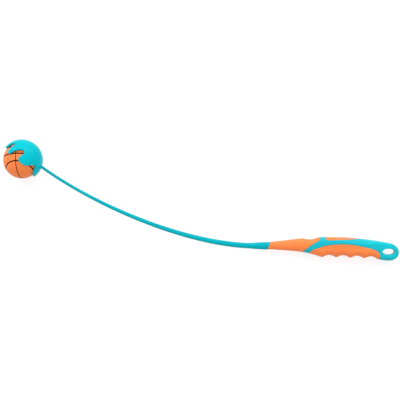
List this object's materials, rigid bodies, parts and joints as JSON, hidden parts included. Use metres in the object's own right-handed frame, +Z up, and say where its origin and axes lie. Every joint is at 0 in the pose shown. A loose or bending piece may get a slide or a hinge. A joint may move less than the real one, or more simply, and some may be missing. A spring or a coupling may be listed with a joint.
{
  "type": "dog ball thrower",
  "caption": "Long curved dog ball thrower: a fingered cup grips a hollow rubber ball at one end, with a soft two-colour handle and hanging hole at the other.",
  "frame": {"origin": "centre of the bounding box at the surface the thrower lies on, on its side", "axes": "+X along the thrower from the cup to the handle, +Z up from the surface, -Y towards the underside of the arm's bow"},
  "size_m": [0.6418, 0.1982, 0.0666],
  "materials": {
    "turquoise_plastic": "satin moulded polypropylene, turquoise",
    "orange_grip": "soft matte moulded grip, orange",
    "ball_rubber": "fine-pebbled matte rubber, orange with darker seams"
  },
  "bodies": {
    "thrower": {"cup": "turquoise_plastic", "arm": "turquoise_plastic", "handle_shell_left": "turquoise_plastic", "handle_shell_right": "turquoise_plastic", "neck_grip": "orange_grip", "finger_grip": "orange_grip", "thumb_pad": "orange_grip"},
    "ball": {"ball_upper_half": "ball_rubber", "ball_lower_half": "ball_rubber"}
  },
  "joints": [
    {"name": "ball_pull", "type": "slide", "parent": "thrower", "child": "ball", "axis": [-0.7237, -0.6606, -0.1995], "range_m": [0, 0.06]}
  ]
}
